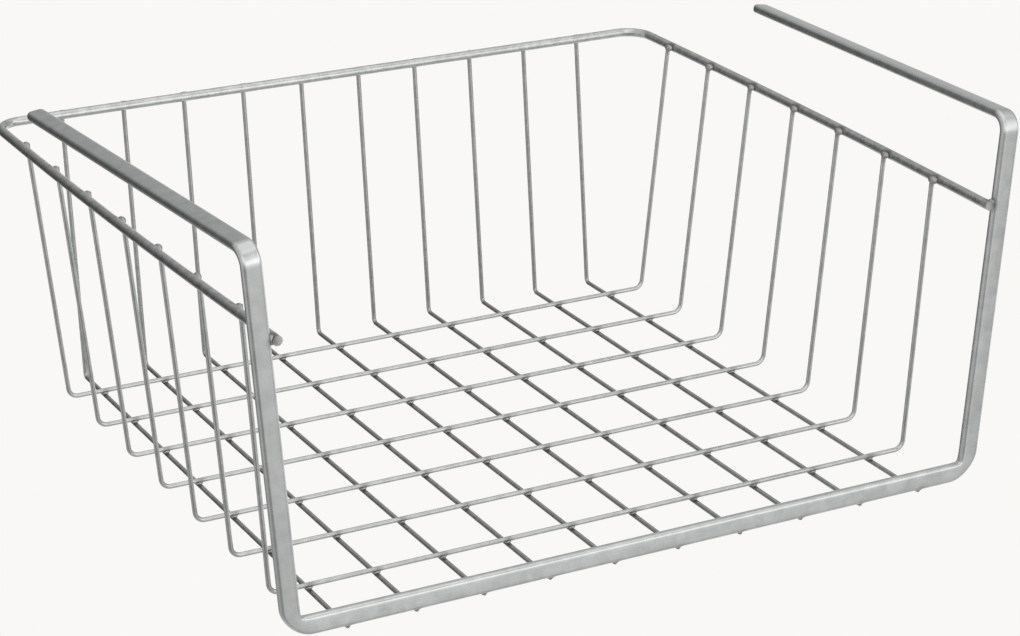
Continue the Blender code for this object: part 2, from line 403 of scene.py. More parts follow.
welds = []
for y in cross_wire_y:
    for x in long_wire_x:
        welds.append((Vector((x, y, CONTACT_Z)), 0, NUGGET_AT_CROSSING))
    for side in (-1, 1):
        spot = Vector((side * (rim_x(y) - RIM_WELD_OFFSET), y, RIM_WELD_Z))
        welds.append((spot, 0, NUGGET_AT_RIM))
for x in long_wire_x:
    spot = Vector((x, RIM_BACK_Y + RIM_WELD_OFFSET, RIM_WELD_Z))
    welds.append((spot, 0, NUGGET_AT_BACK))
    welds.append((Vector((x, RAIL_WELD_Y, RAIL_UNDERSIDE_Z - WELD_GAP / 2)), 0, NUGGET_AT_RAIL))
for side in (-1, 1):
    spot = Vector((side * UPRIGHT_WELD_X, FRONT_Y + BAR_THICKNESS / 2, RIM_Z))
    welds.append((spot, side * UPRIGHT_ANGLE, NUGGET_AT_UPRIGHT))
print("welds:", len(welds))


def polyline(name, points, edges=None):
    """A mesh object of points and the edges that join them."""
    mesh = bpy.data.meshes.new(name)
    mesh.from_pydata(points, edges or [], [])
    return add_object(name, mesh)


weld_places = polyline("weld_places", [spot for spot, turn, size in welds])

# %% [markdown]
# The bends.
#
# Wire, rod and bar are all bent round a former, so each corner of a path becomes a part of a
# circle. The arcs are worked out from the corner and the radius. One function serves all three
# kinds of stock.

# %% Bends in a path


def bent(corners, radius, steps):
    """The path through these corners, with every corner but the two ends bent to this radius."""
    path = [corners[0]]
    for before, corner, after in zip(corners, corners[1:], corners[2:]):
        to_before = (before - corner).normalized()
        to_after = (after - corner).normalized()
        opening = to_before.angle(to_after)
        turn = math.pi - opening
        middle = corner + (to_before + to_after).normalized() * radius / math.sin(opening / 2)
        start = corner + to_before * radius / math.tan(opening / 2) - middle
        end = corner + to_after * radius / math.tan(opening / 2) - middle
        for step in range(steps + 1):
            angle = turn * step / steps
            spoke = (start * math.sin(turn - angle) + end * math.sin(angle)) / math.sin(turn)
            path.append(middle + spoke)
    path.append(corners[-1])
    return path


test_corners = [Vector((1, 0, 0)), Vector((0, 0, 0)), Vector((0, 1, 0))]
corner_test = bent(test_corners, radius=0.5, steps=2)
print("a bent corner:", [tuple(round(value, 2) for value in point) for point in corner_test])

# %% [markdown]
# A node tree for every round rod and wire.
#
# A wire is a line with a few bends and a round section. A curve object with a bevel could do it,
# but it can't say how far along a point lies or how near a weld is. So a Geometry Nodes tree
# does the work: it cuts the straight runs into short rings, sweeps a circle along the line and
# caps the ends. On the way it stores the attributes that the metal reads. The tree has named
# inputs, so one tree makes the thin wires and the thick rod.

# %% Tree that makes a round rod from its corners
def new_tree(name, inputs):
    """A Geometry Nodes tree with these named inputs, and its input node."""
    tree = bpy.data.node_groups.new(name, "GeometryNodeTree")
    tree.is_modifier = True
    tree.interface.new_socket("Geometry", in_out="INPUT", socket_type="NodeSocketGeometry")
    tree.interface.new_socket("Geometry", in_out="OUTPUT", socket_type="NodeSocketGeometry")
    for label, kind in inputs.items():
        tree.interface.new_socket(label, in_out="INPUT", socket_type=kind)
    return tree, tree.nodes.new("NodeGroupInput")


def finish_tree(tree, geometry, material):
    """Ends a tree in real geometry with its material."""
    real = add_node(tree, "GeometryNodeRealizeInstances", {"Geometry": geometry})
    dressed = add_node(
        tree, "GeometryNodeSetMaterial", {"Geometry": real.outputs[0], "Material": material})
    add_node(tree, "NodeGroupOutput", {"Geometry": dressed.outputs[0]})


def run_tree(tree, line, name, values):
    """Runs a tree on an object and returns what it made as a plain mesh object."""
    modifier = line.modifiers.new("make", "NODES")
    modifier.node_group = tree
    sockets = {
        item.name: item.identifier
        for item in tree.interface.items_tree
        if item.item_type == "SOCKET" and item.in_out == "INPUT"
    }
    for label, value in values.items():
        modifier[sockets[label]] = value
    bpy.context.view_layer.update()
    made = line.evaluated_get(bpy.context.evaluated_depsgraph_get())
    mesh = bpy.data.meshes.new_from_object(made)
    mesh.name = name
    line.modifiers.remove(modifier)
    bpy.data.objects.remove(line, do_unlink=True)
    return add_object(name, mesh)


rod_tree, rod_in = new_tree("round_rod", {
    "Rod radius": "NodeSocketFloat",
    "Sides": "NodeSocketInt",
    "Ring spacing": "NodeSocketFloat",
    "Welds": "NodeSocketObject",
    "Heat starts": "NodeSocketFloat",
    "Heat reach": "NodeSocketFloat",
    "Finish": "NodeSocketMaterial",
})
print("named inputs of the tree:", [item.name for item in rod_tree.interface.items_tree][2:])

# %% The line of the rod and its rings
line = add_node(rod_tree, "GeometryNodeMeshToCurve", {"Mesh": rod_in.outputs["Geometry"]})
here = add_node(rod_tree, "GeometryNodeInputPosition")
number = add_node(rod_tree, "GeometryNodeInputIndex")
next_number = add_node(
    rod_tree, "ShaderNodeMath", {0: number.outputs[0], 1: 1.0}, operation="ADD")
next_place = add_node(
    rod_tree, "GeometryNodeFieldAtIndex",
    {"Index": next_number.outputs[0], "Value": here.outputs[0]},
    data_type="FLOAT_VECTOR", domain="POINT")
stretch = add_node(
    rod_tree, "ShaderNodeVectorMath", {0: here.outputs[0], 1: next_place.outputs[0]},
    operation="DISTANCE")
rings = add_node(
    rod_tree, "ShaderNodeMath",
    {0: stretch.outputs["Value"], 1: rod_in.outputs["Ring spacing"]}, operation="DIVIDE")
cut = add_node(
    rod_tree, "GeometryNodeSubdivideCurve", {"Curve": line.outputs[0], "Cuts": rings.outputs[0]})
taper = add_node(
    rod_tree, "GeometryNodeInputNamedAttribute", {"Name": "thickness_share"}, data_type="FLOAT")
tapered = add_node(
    rod_tree, "GeometryNodeSetCurveRadius", {"Curve": cut.outputs[0], "Radius": taper.outputs[0]})
so_far = add_node(rod_tree, "GeometryNodeSplineParameter")
measured = add_node(
    rod_tree, "GeometryNodeStoreNamedAttribute",
    {"Geometry": tapered.outputs[0], "Name": "along", "Value": so_far.outputs["Length"]},
    data_type="FLOAT", domain="POINT")
heading = add_node(rod_tree, "GeometryNodeInputTangent")
headed = add_node(
    rod_tree, "GeometryNodeStoreNamedAttribute",
    {"Geometry": measured.outputs[0], "Name": "draw_direction", "Value": heading.outputs[0]},
    data_type="FLOAT_VECTOR", domain="POINT")
print("nodes for the line:", len(rod_tree.nodes))

# %% The section of the rod, swept along the line
section = add_node(
    rod_tree, "GeometryNodeCurvePrimitiveCircle",
    {"Resolution": rod_in.outputs["Sides"], "Radius": rod_in.outputs["Rod radius"]},
    mode="RADIUS")
around = add_node(
    rod_tree, "GeometryNodeStoreNamedAttribute",
    {"Geometry": section.outputs[0], "Name": "across", "Value": here.outputs[0]},
    data_type="FLOAT_VECTOR", domain="POINT")
swept = add_node(
    rod_tree, "GeometryNodeCurveToMesh",
    {"Curve": headed.outputs[0], "Profile Curve": around.outputs[0], "Fill Caps": True})
across = add_node(
    rod_tree, "GeometryNodeInputNamedAttribute", {"Name": "across"}, data_type="FLOAT_VECTOR")
along = add_node(
    rod_tree, "GeometryNodeInputNamedAttribute", {"Name": "along"}, data_type="FLOAT")
parts = add_node(rod_tree, "ShaderNodeSeparateXYZ", {0: across.outputs[0]})
drawn = add_node(
    rod_tree, "ShaderNodeCombineXYZ",
    {0: parts.outputs[0], 1: parts.outputs[1], 2: along.outputs[0]})
placed = add_node(
    rod_tree, "GeometryNodeStoreNamedAttribute",
    {"Geometry": swept.outputs[0], "Name": "drawn", "Value": drawn.outputs[0]},
    data_type="FLOAT_VECTOR", domain="POINT")
print("nodes for the line and the section:", len(rod_tree.nodes))

# %% The heat of the welds, and the end of the tree
spots = add_node(
    rod_tree, "GeometryNodeObjectInfo", {"Object": rod_in.outputs["Welds"]},
    transform_space="ORIGINAL")
nearest = add_node(
    rod_tree, "GeometryNodeProximity", {0: spots.outputs["Geometry"]}, target_element="POINTS")
heat = add_node(
    rod_tree, "ShaderNodeMapRange",
    {"Value": nearest.outputs["Distance"], "From Min": rod_in.outputs["Heat starts"],
     "From Max": rod_in.outputs["Heat reach"], "To Min": 1.0, "To Max": 0.0},
    interpolation_type="SMOOTHSTEP")
heated = add_node(
    rod_tree, "GeometryNodeStoreNamedAttribute",
    {"Geometry": placed.outputs[0], "Name": "weld_heat", "Value": heat.outputs[0]},
    data_type="FLOAT", domain="POINT")
smooth = add_node(rod_tree, "GeometryNodeSetShadeSmooth", {"Geometry": heated.outputs[0]})
finish_tree(rod_tree, smooth.outputs[0], rod_in.outputs["Finish"])
print("nodes in the tree of the rods:", len(rod_tree.nodes))

# %% [markdown]
# The ends of a rod or wire.
#
# Wire is cut off with a shear, and the heat of its weld rounds the cut. So the thin wires end
# in a small dome, and the thick rod keeps a flat end with a rounded edge. Each end of the line
# gets a few extra points, at which the rod is a little thinner.

# %% Make a rod from its path
END_STEPS = 5
WIRE_BEND_STEPS = 12
RIM_CORNER_STEPS = 24
WIRE_SIDES = 16
ROD_SIDES = 28
WIRE_END_ROUNDING = 1.0 * MM
ROD_END_ROUNDING = 0.55 * MM
RING_SPACING = 2 * MM
HEAT_STARTS = 1.0 * MM
HEAT_REACH = 4.2 * MM


def rounded_end(end, inward, rounding, radius):
    """The last points of a line, from its very end inwards, and the share of the radius there."""
    points, shares = [], []
    for step in range(END_STEPS + 1):
        angle = math.pi / 2 * step / END_STEPS
        points.append(end + inward * rounding * (1 - math.cos(angle)))
        shares.append(1 - rounding * (1 - math.sin(angle)) / radius)
    return points, shares


def make_rod(name, node, path, radius, sides, end_rounding, finish):
    """A round rod with rounded ends along this path, in place of a CAD node."""
    first, first_shares = rounded_end(
        path[0], (path[1] - path[0]).normalized(), end_rounding, radius)
    last, last_shares = rounded_end(
        path[-1], (path[-2] - path[-1]).normalized(), end_rounding, radius)
    points = first + path[1:-1] + last[::-1]
    shares = first_shares + [1.0] * (len(path) - 2) + last_shares[::-1]
    edges = [(n, n + 1) for n in range(len(points) - 1)]
    line = polyline(name + "_line", points, edges)
    share = line.data.attributes.new("thickness_share", "FLOAT", "POINT")
    share.data.foreach_set("value", shares)
    rod = run_tree(rod_tree, line, name, {
        "Rod radius": radius,
        "Sides": sides,
        "Ring spacing": RING_SPACING,
        "Welds": weld_places,
        "Heat starts": radius + HEAT_STARTS - WIRE_RADIUS,
        "Heat reach": radius + HEAT_REACH - WIRE_RADIUS,
        "Finish": finish,
    })
    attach(rod, "root")
    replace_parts(rod, node)
    return rod


# %% [markdown]
# The cross wires.
#
# Each of the seven starts beside the left rim, goes down to the floor, across it and up to the
# right rim. Its two wall stretches lean outwards, so the line through the floor's corner and
# the rim gives where the wire ends. The seven differ, because the rim widens to the back.

# %% Cross wires


def beyond(low, joint, z):
    """The point at height z on the line from low through joint."""
    return low + (joint - low) * (z - low.z) / (joint.z - low.z)


pieces = []
for number, y in enumerate(cross_wire_y, start=1):
    ends, feet = [], []
    for side in (-1, 1):
        foot = Vector((side * FLOOR_WIDTH / 2, y, CROSS_WIRE_Z))
        joint = Vector((side * (rim_x(y) - RIM_TO_WIRE), y, RIM_Z))
        feet.append(foot)
        ends.append(beyond(foot, joint, WIRE_TOP_Z))
    pieces.append(make_rod(
        f"cross_wire_{number}_round", f"cross_wire_{number}",
        bent([ends[0], *feet, ends[1]], WIRE_BEND_RADIUS, WIRE_BEND_STEPS),
        WIRE_RADIUS, WIRE_SIDES, WIRE_END_ROUNDING, cross_wire_metal))
print("cross wires:", len(pieces), "faces each:", len(pieces[0].data.polygons))

# %% [markdown]
# The long wires.
#
# Each of the ten starts behind the back rim, goes down to the floor and runs forward, under the
# cross wires, until it ends under the front rail. The weld there pressed its soft end up into
# the rail by more than half a millimetre. The bend at the back is nearly sharp in the
# photograph, much tighter than the bends of the cross wires, so it gets a radius of its own.

# %% Long wires
BACK_BEND_RADIUS = 2.6 * MM
PRESSED_LENGTH = 6 * MM
PRESSED_UP = 0.7 * MM

for number, x in enumerate(long_wire_x, start=1):
    foot = Vector((x, FRONT_Y + FLOOR_DEPTH, LONG_WIRE_Z))
    joint = Vector((x, RIM_BACK_Y + RIM_TO_WIRE, RIM_Z))
    press_start = Vector((x, LONG_WIRE_FRONT_Y + PRESSED_LENGTH, LONG_WIRE_Z))
    front_end = Vector((x, LONG_WIRE_FRONT_Y, LONG_WIRE_Z + PRESSED_UP))
    corners = [beyond(foot, joint, WIRE_TOP_Z), foot, press_start, front_end]
    pieces.append(make_rod(
        f"long_wire_{number}_round", f"long_wire_{number}",
        bent(corners, BACK_BEND_RADIUS, WIRE_BEND_STEPS),
        WIRE_RADIUS, WIRE_SIDES, WIRE_END_ROUNDING, long_wire_metal_painted_shade))
print("wires in all:", len(pieces))

# %% [markdown]
# The rim.
#
# One thicker rod, bent twice, level all the way round. Its sides bulge outwards a little, where
# the cross wires push them apart. Its cut ends are flush with the front face of the frame, where
# the photograph shows them as small discs between the welds.

# %% Rim rod
side_y = [FRONT_Y]
for step in range(RIM_SIDE_STEPS):
    side_y.append(FRAME_BACK_Y + (RIM_BACK_Y - FRAME_BACK_Y) * step / RIM_SIDE_STEPS)
left_side = [Vector((-rim_x(y), y, RIM_Z)) for y in side_y]
right_side = [Vector((rim_x(y), y, RIM_Z)) for y in reversed(side_y)]
back_corners = [Vector((side * rim_x(RIM_BACK_Y), RIM_BACK_Y, RIM_Z)) for side in (-1, 1)]
round_the_back = bent(
    [left_side[-1], *back_corners, right_side[0]], RIM_CORNER_RADIUS, RIM_CORNER_STEPS)
rim = make_rod(
    "rim_rod_round", "rim_rod", left_side[:-1] + round_the_back + right_side[1:],
    RIM_RADIUS, ROD_SIDES, ROD_END_ROUNDING, rod_metal)
pieces.append(rim)
print("faces of the rim:", len(rim.data.polygons))

# %% [markdown]
# The frame bar.
#
# A flat bar, 9.5 mm wide and 4.6 mm thick with rounded edges, goes round the whole front: two bends
# on edge at the foot, two the easy way at the top. A curve with a bevel object would let the
# section turn at the bends as Blender sees fit. So the bar is swept in mesh code, which carries
# the direction of the bar's width from ring to ring and only takes out the part that points
# along the bar. Rolled bar is never quite flat: each face is crowned by a few hundredths of a
# millimetre, which makes its reflections run softly from edge to edge.

# %% Section of the bar
EDGE_STEPS = 6
FLAT_SHARES = (-0.8, -0.5, 0.0, 0.5, 0.8)  # where points lie across a flat face
EDGE_SHARE = 0.9  # the most that a rounded edge takes of half the thickness, at the thin tips
FACE_CROWN = 0.05 * MM
SIDE_CROWN = 0.03 * MM
TIP_CORNER_RADIUS = 2.2 * MM  # in the width of the bar
TIP_EDGE_RADIUS = 0.8 * MM  # in its thickness
TIP_STEPS = 8


def bar_section(width, thickness, inner_loss, outer_loss):
    """The outline of the bar, as pairs: across its width, and through its thickness."""
    edge = min(BAR_EDGE_RADIUS, thickness / 2 * EDGE_SHARE)
    reach_u, reach_v = width / 2 - SIDE_CROWN - edge, thickness / 2 - FACE_CROWN - edge
    outline = []
    for quarter, (side_u, side_v) in enumerate(((1, 1), (-1, 1), (-1, -1), (1, -1))):
        for step in range(EDGE_STEPS + 1):
            angle = math.pi / 2 * (quarter + step / EDGE_STEPS)
            outline.append((side_u * reach_u + edge * math.cos(angle),
                            side_v * reach_v + edge * math.sin(angle)))
        for share in FLAT_SHARES:
            if quarter % 2 == 0:
                outline.append((-side_u * share * reach_u,
                                side_v * (thickness / 2 - FACE_CROWN * share * share)))
            else:
                outline.append((side_u * (width / 2 - SIDE_CROWN * share * share),
                                -side_v * share * reach_v))
    inner_share = 1 - 2 * inner_loss / width
    outer_share = 1 - 2 * outer_loss / width
    return [(u * (inner_share if u < 0 else outer_share), v) for u, v in outline]


print("points round the bar:", len(bar_section(BAR_WIDTH, BAR_THICKNESS, 0, 0)))

# %% Path of the bar
BAR_BEND_STEPS = 32
BAR_RING_SPACING = 2.5 * MM
TIP_ROOM = 1.2  # the tip's own rings take over at this many corner radii from the end


def with_rings(path, spacing):
    """The same path with its long straight runs cut into short ones."""
    finer = [path[0]]
    for start, end in zip(path, path[1:]):
        count = max(1, round((end - start).length / spacing))
        finer += [start.lerp(end, step / count) for step in range(1, count + 1)]
    return finer


rail_z = RAIL_UNDERSIDE_Z + BAR_WIDTH / 2
bar_y = FRONT_Y + BAR_THICKNESS / 2
rail_middle = Vector((0, bar_y, rail_z))
bar_foot = Vector((upright_middle_x(rail_z), bar_y, rail_z))
shoulder = Vector((upright_middle_x(ARM_MIDDLE_Z), bar_y, ARM_MIDDLE_Z))
arm_end = Vector((shoulder.x + ARM_SPLAY, FRONT_Y + ARM_REACH, ARM_MIDDLE_Z - ARM_DROP))
foot_bend = bent([rail_middle, bar_foot, shoulder], BAR_FOOT_BEND_RADIUS, BAR_BEND_STEPS)
top_bend = bent([bar_foot, shoulder, arm_end], BAR_TOP_BEND_RADIUS, BAR_BEND_STEPS)
half_path = with_rings(foot_bend[:-1] + top_bend[1:], BAR_RING_SPACING)

inward = (half_path[-2] - arm_end).normalized()
tip_path = [
    arm_end + inward * TIP_CORNER_RADIUS * (1 - math.sin(math.pi / 2 * step / TIP_STEPS))
    for step in range(TIP_STEPS + 1)
]
half_path = [p for p in half_path if (p - arm_end).length > TIP_CORNER_RADIUS * TIP_ROOM]
half_path += tip_path
print("rings on half of the bar:", len(half_path))

# %% [markdown]
# The shape of the foot bends.
#
# A flat bar that is bent on edge doesn't stay 9.5 mm wide. The photograph shows an inner corner
# that is nearly sharp inside a wide outer one, as a press leaves it, and the outer side draws in
# a little. So the inner side of each foot bend gets a corner with a much smaller radius.

# %% Tight inner corners of the foot bends
FOOT_CORNER_RADIUS = 1.6 * MM
FOOT_OUTER_LOSS = 0.5 * MM

foot_half_turn = (math.pi / 2 - UPRIGHT_ANGLE) / 2
foot_inner_radius = BAR_FOOT_BEND_RADIUS - BAR_WIDTH / 2
foot_centre = bar_foot + Vector(
    (-BAR_FOOT_BEND_RADIUS * math.tan(foot_half_turn), 0, BAR_FOOT_BEND_RADIUS))


def foot_change(point):
    """How much the inner and the outer side of the bar lose beside this point."""
    angle = math.atan2(point.x - foot_centre.x, foot_centre.z - point.z)
    if not 0 < angle < 2 * foot_half_turn:
        return 0, 0
    from_middle = abs(angle - foot_half_turn)
    spare = foot_inner_radius - FOOT_CORNER_RADIUS
    touch = math.atan(spare * math.tan(foot_half_turn) / foot_inner_radius)
    if foot_half_turn - from_middle < touch:
        reach = foot_inner_radius / math.cos(foot_half_turn - from_middle)
    else:
        corner = spare / math.cos(foot_half_turn)
        reach = corner * math.cos(from_middle) + math.sqrt(
            FOOT_CORNER_RADIUS ** 2 - (corner * math.sin(from_middle)) ** 2)
    loss = FOOT_OUTER_LOSS * math.cos(math.pi / 2 * from_middle / foot_half_turn) ** 2
    return reach - foot_inner_radius, loss


losses = [foot_change(point) for point in half_path]
print("most that the sides lose in mm:", [round(1000 * max(side), 2) for side in zip(*losses)])

# %% Sweep of the bar


def tip_inset(distance, radius):
    """How far a corner of this radius draws in at this distance from the end."""
    if distance >= radius:
        return 0
    return radius - math.sqrt(max(0, radius * radius - (radius - distance) ** 2))


def sweep_half_bar(path):
    """The rings of half the bar: their points, and where each lies on the drawn bar."""
    width_direction = Vector((0, 0, -1))
    length = 0
    rings = []
    for number, point in enumerate(path):
        before = path[max(number - 1, 0)]
        after = path[min(number + 1, len(path) - 1)]
        if number == 0:
            before = Vector((-after.x, after.y, after.z))
        along = (after - before).normalized()
        length += (point - path[max(number - 1, 0)]).length
        width_direction -= along * width_direction.dot(along)
        width_direction.normalize()
        through = along.cross(width_direction)
        distance = (point - path[-1]).length
        width = BAR_WIDTH - 2 * tip_inset(distance, TIP_CORNER_RADIUS)
        thickness = BAR_THICKNESS - 2 * tip_inset(distance, TIP_EDGE_RADIUS)
        rings.append([
            (point + width_direction * u + through * v, Vector((u, v, length)), along)
            for u, v in bar_section(width, thickness, *foot_change(point))
        ])
    return rings


half_rings = sweep_half_bar(half_path)
left_rings = [
    [(Vector((-place.x, place.y, place.z)), Vector((on_bar.x, on_bar.y, -on_bar.z)),
      Vector((along.x, -along.y, -along.z)))
     for place, on_bar, along in ring]
    for ring in half_rings[:0:-1]
]
bar_rings = left_rings + half_rings
print("length of half the bar in mm:", round(1000 * half_rings[-1][0][1].z, 1))

# %% Mesh of the bar


def mesh_of_rings(name, rings):
    """A closed skin over the rings, with its two ends filled."""
    skin = bmesh.new()
    drawn = skin.verts.layers.float_vector.new("drawn")
    draw_direction = skin.verts.layers.float_vector.new("draw_direction")
    rows = []
    for ring in rings:
        row = []
        for place, on_bar, along in ring:
            vert = skin.verts.new(place)
            vert[drawn] = on_bar
            vert[draw_direction] = along
            row.append(vert)
        rows.append(row)
    for row, next_row in zip(rows, rows[1:]):
        for n in range(len(row)):
            m = (n + 1) % len(row)
            skin.faces.new((row[n], row[m], next_row[m], next_row[n]))
    skin.faces.new(rows[0][::-1])
    skin.faces.new(rows[-1])
    bmesh.ops.recalc_face_normals(skin, faces=skin.faces)
    mesh = bpy.data.meshes.new(name)
    skin.to_mesh(mesh)
    skin.free()
    mesh.shade_smooth()
    return mesh


bar = add_object("frame_bar_smooth", mesh_of_rings("frame_bar_smooth", bar_rings))
bar.data.materials.append(bar_metal)

bar_heat = bar.data.attributes.new("weld_heat", "FLOAT", "POINT")
bar_welds = [spot for spot, turn, size in welds if spot.y < FRONT_Y + BAR_THICKNESS]
BAR_HEAT_STARTS = 1.4 * MM
BAR_HEAT_REACH = 4.4 * MM
for vert in bar.data.vertices:
    distance = min((vert.co - spot).length for spot in bar_welds)
    share = (BAR_HEAT_REACH - distance) / (BAR_HEAT_REACH - BAR_HEAT_STARTS)
    bar_heat.data[vert.index].value = min(max(share, 0), 1)

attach(bar, "root")
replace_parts(bar, "frame_bar")
pieces.append(bar)
print("faces of the bar:", len(bar.data.polygons))

# %% [markdown]
# The weld nuggets.
#
# Where two wires were pressed together, a little metal was squeezed out, and the plating lies
# dull over it. On the floor it is a flat collar between the two wires. On the rim it is a smooth
# wide hump that has swallowed the end of the wire: the photograph shows it as a low bump.
#
# Each could be modelled by hand, but the nuggets are all but the same. So a Geometry Nodes tree
# puts a small round lump on each of the points in the list, turned and sized as the point says,
# and a fixed seed makes no two quite alike. Each lump has only a few dozen faces, because there
# are more than a hundred of them.

# %% Material of the welds
WELD_COLOURS = ("A4A3A0", "BAB9B7")
WELD_GRAIN = 0.7 * MM
WELD_GRAIN_DETAIL = 3.0
WELD_GRAIN_HEIGHT = 0.03 * MM
WELD_ROUGHNESS = (0.32, 0.5)

weld_metal = bpy.data.materials.new("plated_weld_nugget")
weld_metal.use_nodes = True
weld_nodes = weld_metal.node_tree
weld_shader = weld_nodes.nodes["Principled BSDF"]
weld_shader.inputs["Metallic"].default_value = 1
weld_grain = patches_of(weld_nodes, WELD_GRAIN, WELD_GRAIN_DETAIL)
weld_colour = add_node(
    weld_nodes, "ShaderNodeMix",
    {"Factor": weld_grain, MIX_A: linear(WELD_COLOURS[0]), MIX_B: linear(WELD_COLOURS[1])},
    data_type="RGBA")
weld_nodes.links.new(weld_colour.outputs[MIXED], weld_shader.inputs["Base Color"])
weld_gloss = add_node(
    weld_nodes, "ShaderNodeMapRange",
    {"Value": weld_grain, "To Min": WELD_ROUGHNESS[0], "To Max": WELD_ROUGHNESS[1]})
weld_nodes.links.new(weld_gloss.outputs[0], weld_shader.inputs["Roughness"])
weld_relief = add_node(
    weld_nodes, "ShaderNodeBump",
    {"Height": weld_grain, "Strength": 1.0, "Distance": WELD_GRAIN_HEIGHT})
weld_nodes.links.new(weld_relief.outputs["Normal"], weld_shader.inputs["Normal"])
print("finish of the welds:", weld_metal.name)

# %% Tree that puts the nuggets in place
NUGGET_SUBDIVISIONS = 2  # 80 faces each
RIPPLE_SIZE = 1.8 * MM
RIPPLE_DETAIL = 1.0
NOISE_MIDDLE = (0.5, 0.5, 0.5)
RANDOM_MIN, RANDOM_MAX, RANDOM_NUMBER = 2, 3, 1  # sockets of a Random Value node for numbers

nugget_tree, nugget_in = new_tree("weld_nuggets", {
    "Size spread": "NodeSocketFloat",
    "Unevenness": "NodeSocketFloat",
    "Seed": "NodeSocketInt",
    "Finish": "NodeSocketMaterial",
})
lump = add_node(
    nugget_tree, "GeometryNodeMeshIcoSphere",
    {"Radius": 1.0, "Subdivisions": NUGGET_SUBDIVISIONS})
half_sizes = add_node(
    nugget_tree, "GeometryNodeInputNamedAttribute", {"Name": "half_sizes"},
    data_type="FLOAT_VECTOR")
turn = add_node(
    nugget_tree, "GeometryNodeInputNamedAttribute", {"Name": "turn"}, data_type="FLOAT_VECTOR")
smallest, largest = (
    add_node(nugget_tree, "ShaderNodeMath", {0: 1.0, 1: nugget_in.outputs["Size spread"]},
             operation=way)
    for way in ("SUBTRACT", "ADD")
)
luck = add_node(
    nugget_tree, "FunctionNodeRandomValue",
    {RANDOM_MIN: smallest.outputs[0], RANDOM_MAX: largest.outputs[0],
     "Seed": nugget_in.outputs["Seed"]},
    data_type="FLOAT")
sized = add_node(
    nugget_tree, "ShaderNodeVectorMath",
    {0: half_sizes.outputs[0], "Scale": luck.outputs[RANDOM_NUMBER]}, operation="SCALE")
lumps = add_node(
    nugget_tree, "GeometryNodeInstanceOnPoints",
    {"Points": nugget_in.outputs["Geometry"], "Instance": lump.outputs[0],
     "Rotation": turn.outputs[0], "Scale": sized.outputs[0]})
real_lumps = add_node(nugget_tree, "GeometryNodeRealizeInstances", {0: lumps.outputs[0]})
ripple = add_node(
    nugget_tree, "ShaderNodeTexNoise", {"Scale": 1 / RIPPLE_SIZE, "Detail": RIPPLE_DETAIL})
centred = add_node(
    nugget_tree, "ShaderNodeVectorMath", {0: ripple.outputs["Color"], 1: NOISE_MIDDLE},
    operation="SUBTRACT")
shift = add_node(
    nugget_tree, "ShaderNodeVectorMath",
    {0: centred.outputs[0], "Scale": nugget_in.outputs["Unevenness"]}, operation="SCALE")
uneven = add_node(
    nugget_tree, "GeometryNodeSetPosition",
    {"Geometry": real_lumps.outputs[0], "Offset": shift.outputs[0]})
smooth_lumps = add_node(
    nugget_tree, "GeometryNodeSetShadeSmooth", {"Geometry": uneven.outputs[0]})
finish_tree(nugget_tree, smooth_lumps.outputs[0], nugget_in.outputs["Finish"])
print("nodes in the tree of the nuggets:", len(nugget_tree.nodes))

# %% Weld nuggets
NUGGET_SIZE_SPREAD = 0.12
NUGGET_UNEVENNESS = 0.22 * MM
NUGGET_SEED = 7

weld_points = polyline("weld_points", [spot for spot, turn, size in welds])
sizes = weld_points.data.attributes.new("half_sizes", "FLOAT_VECTOR", "POINT")
turns = weld_points.data.attributes.new("turn", "FLOAT_VECTOR", "POINT")
for number, (spot, angle, size) in enumerate(welds):
    sizes.data[number].vector = size
    turns.data[number].vector = (0, angle, 0)
nuggets = run_tree(nugget_tree, weld_points, "weld_nuggets", {
    "Size spread": NUGGET_SIZE_SPREAD,
    "Unevenness": NUGGET_UNEVENNESS,
    "Seed": NUGGET_SEED,
    "Finish": weld_metal,
})
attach(nuggets, "root")
pieces.append(nuggets)
bpy.data.objects.remove(weld_places, do_unlink=True)
print("faces of the nuggets:", len(nuggets.data.polygons))

# %% [markdown]
# The studio.
#
# Metal shows little but its surroundings, so most of its look is made here. The photograph has
# an off-white ground with no shadow, and the tones along the metal tell what stood round it. A
# bright band lies in front, a little above the horizon: each top bend shows it as a narrow white
# streak. It was darker near the camera, and darkest behind on the left.
#
# The ground and the backdrop are seen by the camera alone. What the metal mirrors is a world of
# six ramps of grey over height, one for each way that it looks, which fade into one another, and
# two large soft lights. A picture of a studio would do it too, but a ramp can be tuned stop by
# stop against one place on the metal.

# %% Ground and backdrop
GROUND_COLOUR = "F9F8F6"
GROUND_HALF_WIDTH = 18.0
BACKDROP_RADIUS = 19.0
BACKDROP_SUBDIVISIONS = 3

ground_paint = bpy.data.materials.new("pale_ground")
ground_paint.use_nodes = True
ground_nodes = ground_paint.node_tree
ground_nodes.nodes.clear()
glow = add_node(ground_nodes, "ShaderNodeEmission", {"Color": linear(GROUND_COLOUR)})
add_node(ground_nodes, "ShaderNodeOutputMaterial", {"Surface": glow.outputs[0]})


def add_stage(name, mesh):
    """A piece of the studio that only the camera sees."""
    mesh.materials.append(ground_paint)
    stage = add_object(name, mesh)
    stage.visible_diffuse = False
    stage.visible_glossy = False
    stage.visible_shadow = False


ground_mesh = bpy.data.meshes.new("ground")
corner_signs = ((-1, -1), (1, -1), (1, 1), (-1, 1))
ground_mesh.from_pydata(
    [(GROUND_HALF_WIDTH * a, GROUND_HALF_WIDTH * b, 0) for a, b in corner_signs], [],
    [(0, 1, 2, 3)])
add_stage("ground", ground_mesh)

